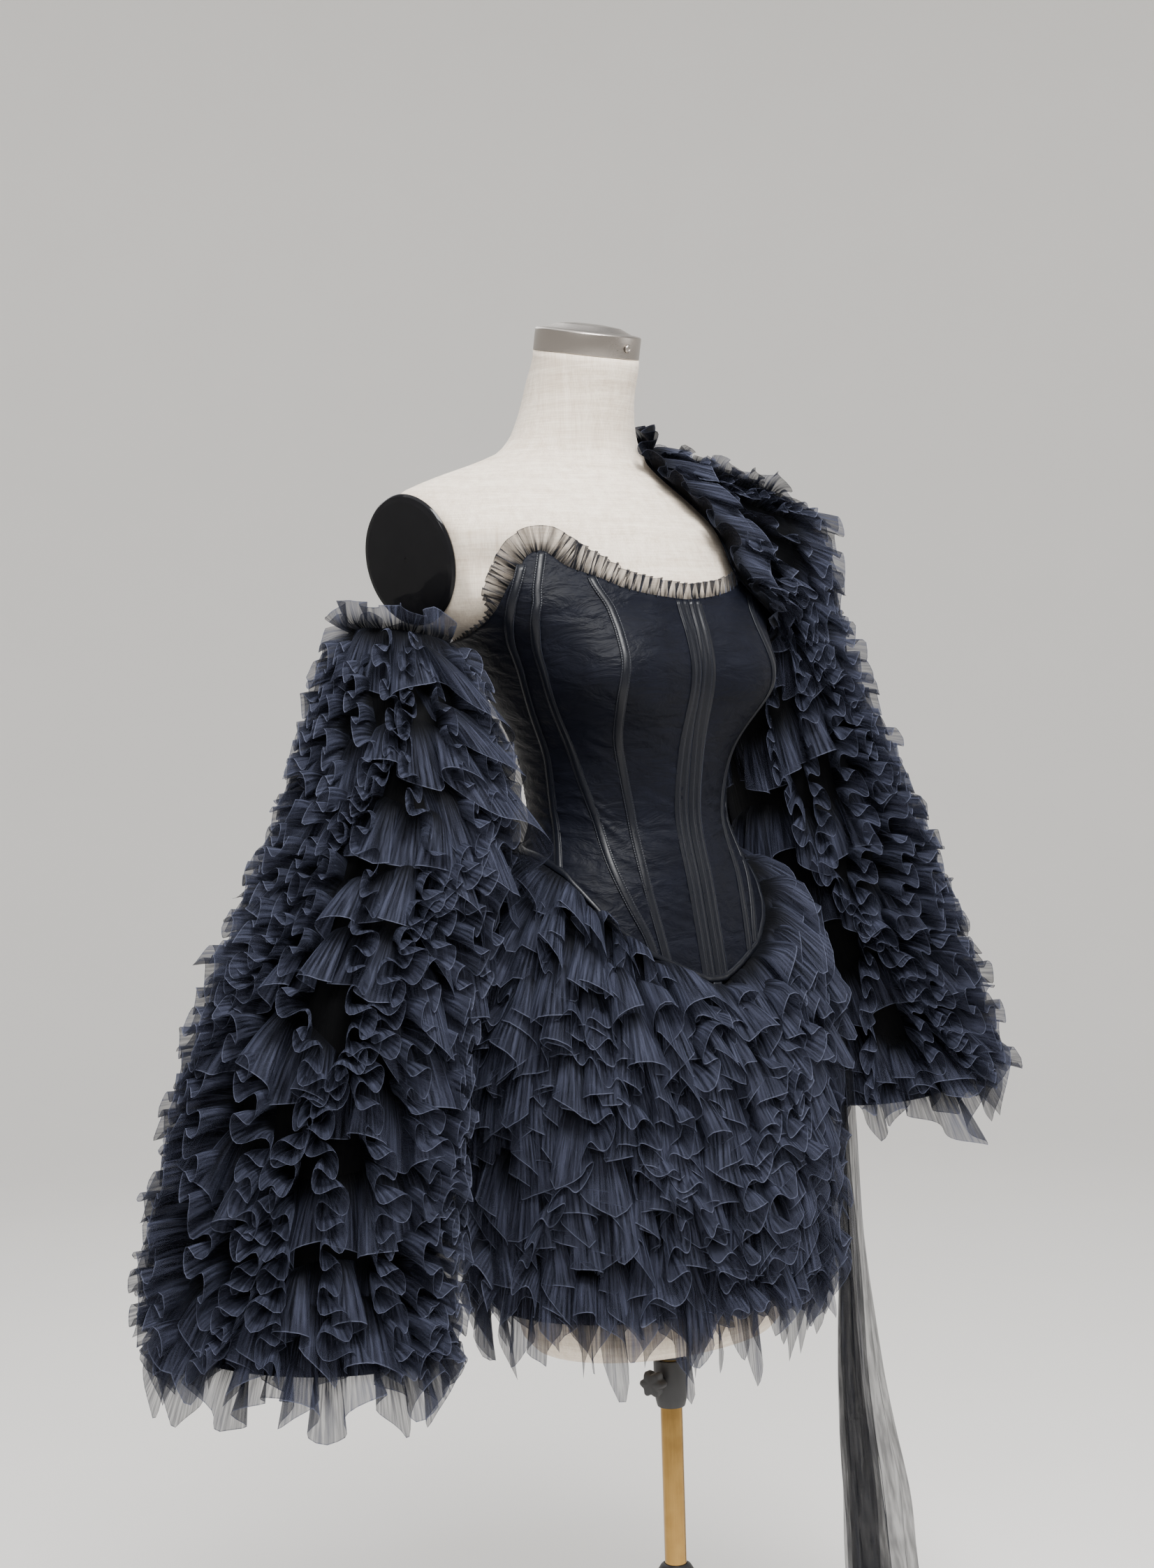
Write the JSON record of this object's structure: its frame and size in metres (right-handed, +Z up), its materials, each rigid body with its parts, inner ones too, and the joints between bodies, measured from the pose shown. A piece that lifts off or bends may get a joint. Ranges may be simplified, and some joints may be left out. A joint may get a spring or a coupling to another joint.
{
  "type": "prom dress on dress form",
  "caption": "Short black prom dress with a boned satin corset, ruffled tulle skirt, off-shoulder ruffled bell sleeves and a sash tail, shown on a linen dress form on a pole stand.",
  "frame": {"origin": "on the floor under the pole, at the centre of the round base's underside", "axes": "+Z up, -Y towards the front of the dress, +X towards the dress's own left side"},
  "size_m": [1.0783, 0.4126, 1.6531],
  "materials": {
    "satin": "black satin with a low sheen",
    "ribbon": "black satin ribbon",
    "tulle": "blue-black sheer tulle",
    "net": "black pleated net",
    "linen": "natural slub linen",
    "plate_black": "gloss black",
    "cap_steel": "spun steel",
    "pole_brass": "polished",
    "collar_black": "matte black",
    "base_paint": "black enamel"
  },
  "bodies": {
    "stand": {"base_disc": "base_paint", "outer_tube": "pole_brass", "lower_collar": "collar_black"},
    "upright": {"inner_pole": "pole_brass", "upper_collar": "collar_black"},
    "form": {"corset_centre_front_right": "satin", "corset_side_front_right": "satin", "corset_side_right": "satin", "corset_back_right": "satin", "corset_centre_front_left": "satin", "corset_side_front_left": "satin", "corset_side_left": "satin", "corset_back_left": "satin", "casing_front_right": "ribbon", "casing_cup_right": "ribbon", "casing_waist_right": "ribbon", "casing_side_right": "ribbon", "casing_front_left": "ribbon", "casing_cup_left": "ribbon", "casing_waist_left": "ribbon", "casing_side_left": "ribbon", "corset_lower_binding": "ribbon", "corset_neck_frill": "net", "skirt_base": "tulle", "skirt_ruffle_1": "tulle", "skirt_ruffle_2": "tulle", "skirt_ruffle_3": "tulle", "skirt_ruffle_4": "tulle", "skirt_ruffle_5": "tulle", "skirt_ruffle_6": "tulle", "sleeve_left_base": "tulle", "sleeve_left_ruffle_1": "tulle", "sleeve_left_ruffle_2": "tulle", "sleeve_left_ruffle_3": "tulle", "sleeve_left_ruffle_4": "tulle", "sleeve_left_ruffle_5": "tulle", "sleeve_left_ruffle_6": "tulle", "sleeve_left_ruffle_7": "tulle", "sleeve_right_base": "tulle", "sleeve_right_ruffle_1": "tulle", "sleeve_right_ruffle_2": "tulle", "sleeve_right_ruffle_3": "tulle", "sleeve_right_ruffle_4": "tulle", "sleeve_right_ruffle_5": "tulle", "sleeve_right_ruffle_6": "tulle", "shrug_back": "tulle", "sash_tail": "tulle", "form_torso": "linen", "arm_plate_right": "plate_black", "arm_plate_left": "plate_black", "neck_cap": "cap_steel", "neck_cap_screw": "cap_steel", "form_socket": "collar_black"},
    "upper_knob": {"upper_knob": "collar_black"},
    "lower_knob": {"lower_knob": "collar_black"}
  },
  "joints": [
    {"name": "height_slide", "type": "slide", "parent": "stand", "child": "upright", "axis": [0, 0, 1], "range_m": [-0.12, 0.12]},
    {"name": "form_swivel", "type": "hinge", "parent": "upright", "child": "form", "pos_m": [0, 0, 0.62], "axis": [0, 0, 1], "continuous": true},
    {"name": "upper_knob_turn", "type": "hinge", "parent": "upright", "child": "upper_knob", "pos_m": [0, 0, 0.58], "axis": [-0.9659, -0.2588, 0], "continuous": true},
    {"name": "lower_knob_turn", "type": "hinge", "parent": "stand", "child": "lower_knob", "pos_m": [0, 0, 0.363], "axis": [-0.9659, -0.2588, 0], "continuous": true}
  ]
}
